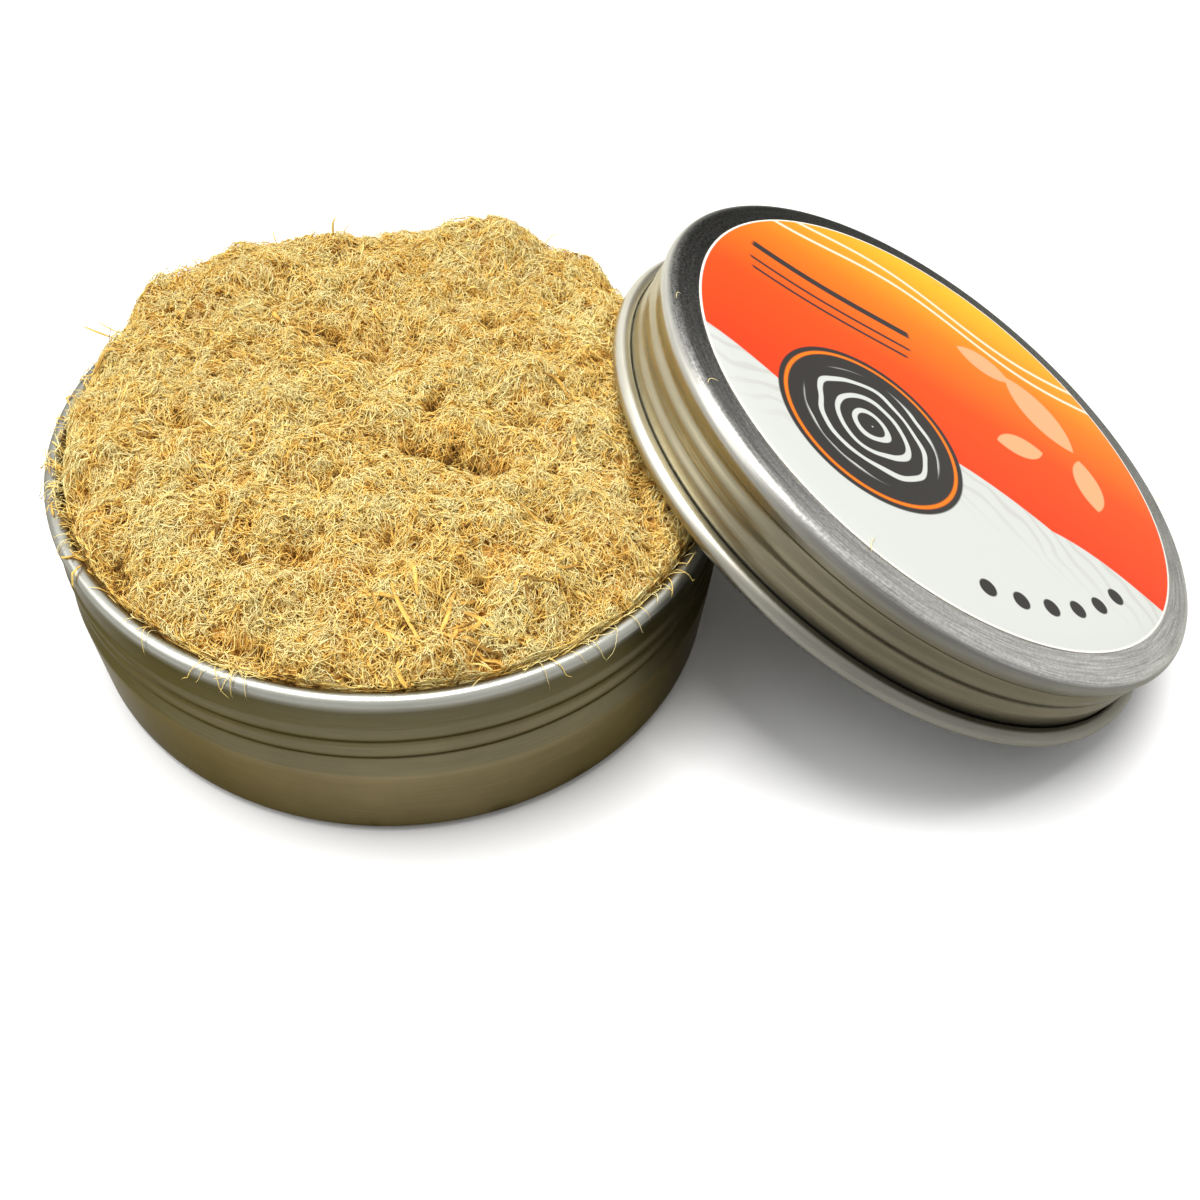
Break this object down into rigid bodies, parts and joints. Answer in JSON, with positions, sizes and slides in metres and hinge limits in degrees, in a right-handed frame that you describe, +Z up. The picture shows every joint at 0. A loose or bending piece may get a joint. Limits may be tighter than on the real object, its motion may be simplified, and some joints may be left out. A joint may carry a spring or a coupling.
{
  "type": "tinder box",
  "caption": "Round screw-top metal tin heaped with fluffy wood-fibre tinder, shown open with its labelled lid leaning on the tin.",
  "frame": {"origin": "middle of the tin's flat bottom, on the surface that the tin and the lid's edge stand on", "axes": "+Z up along the tin's axis; the leaning lid lies towards +X; the picture looks along +Y and down"},
  "size_m": [0.1416, 0.0951, 0.0401],
  "materials": {
    "tin_metal": "drawn aluminium with a satin sheen",
    "lid_metal": "drawn aluminium with a fine brushed top",
    "liner_foam": "matt white closed-cell foam",
    "label_paper": "satin printed sticker with a thin white edge",
    "tinder": "loose fine wood fibre, dry and matt"
  },
  "bodies": {
    "tin": {"tin_base": "tin_metal", "tinder_fill": "tinder"},
    "liner": {"lid_liner": "liner_foam"},
    "lid": {"tin_lid": "lid_metal", "lid_label": "label_paper"}
  },
  "joints": [
    {"name": "lid_lift", "type": "slide", "parent": "tin", "child": "liner", "axis": [0.372, 0.0437, 0.9272], "range_m": [0, 0.06]},
    {"name": "lid_turn", "type": "hinge", "parent": "liner", "child": "lid", "pos_m": [0.06561, 0.01454, 0.02568], "axis": [0.372, 0.0437, 0.9272], "continuous": true}
  ]
}
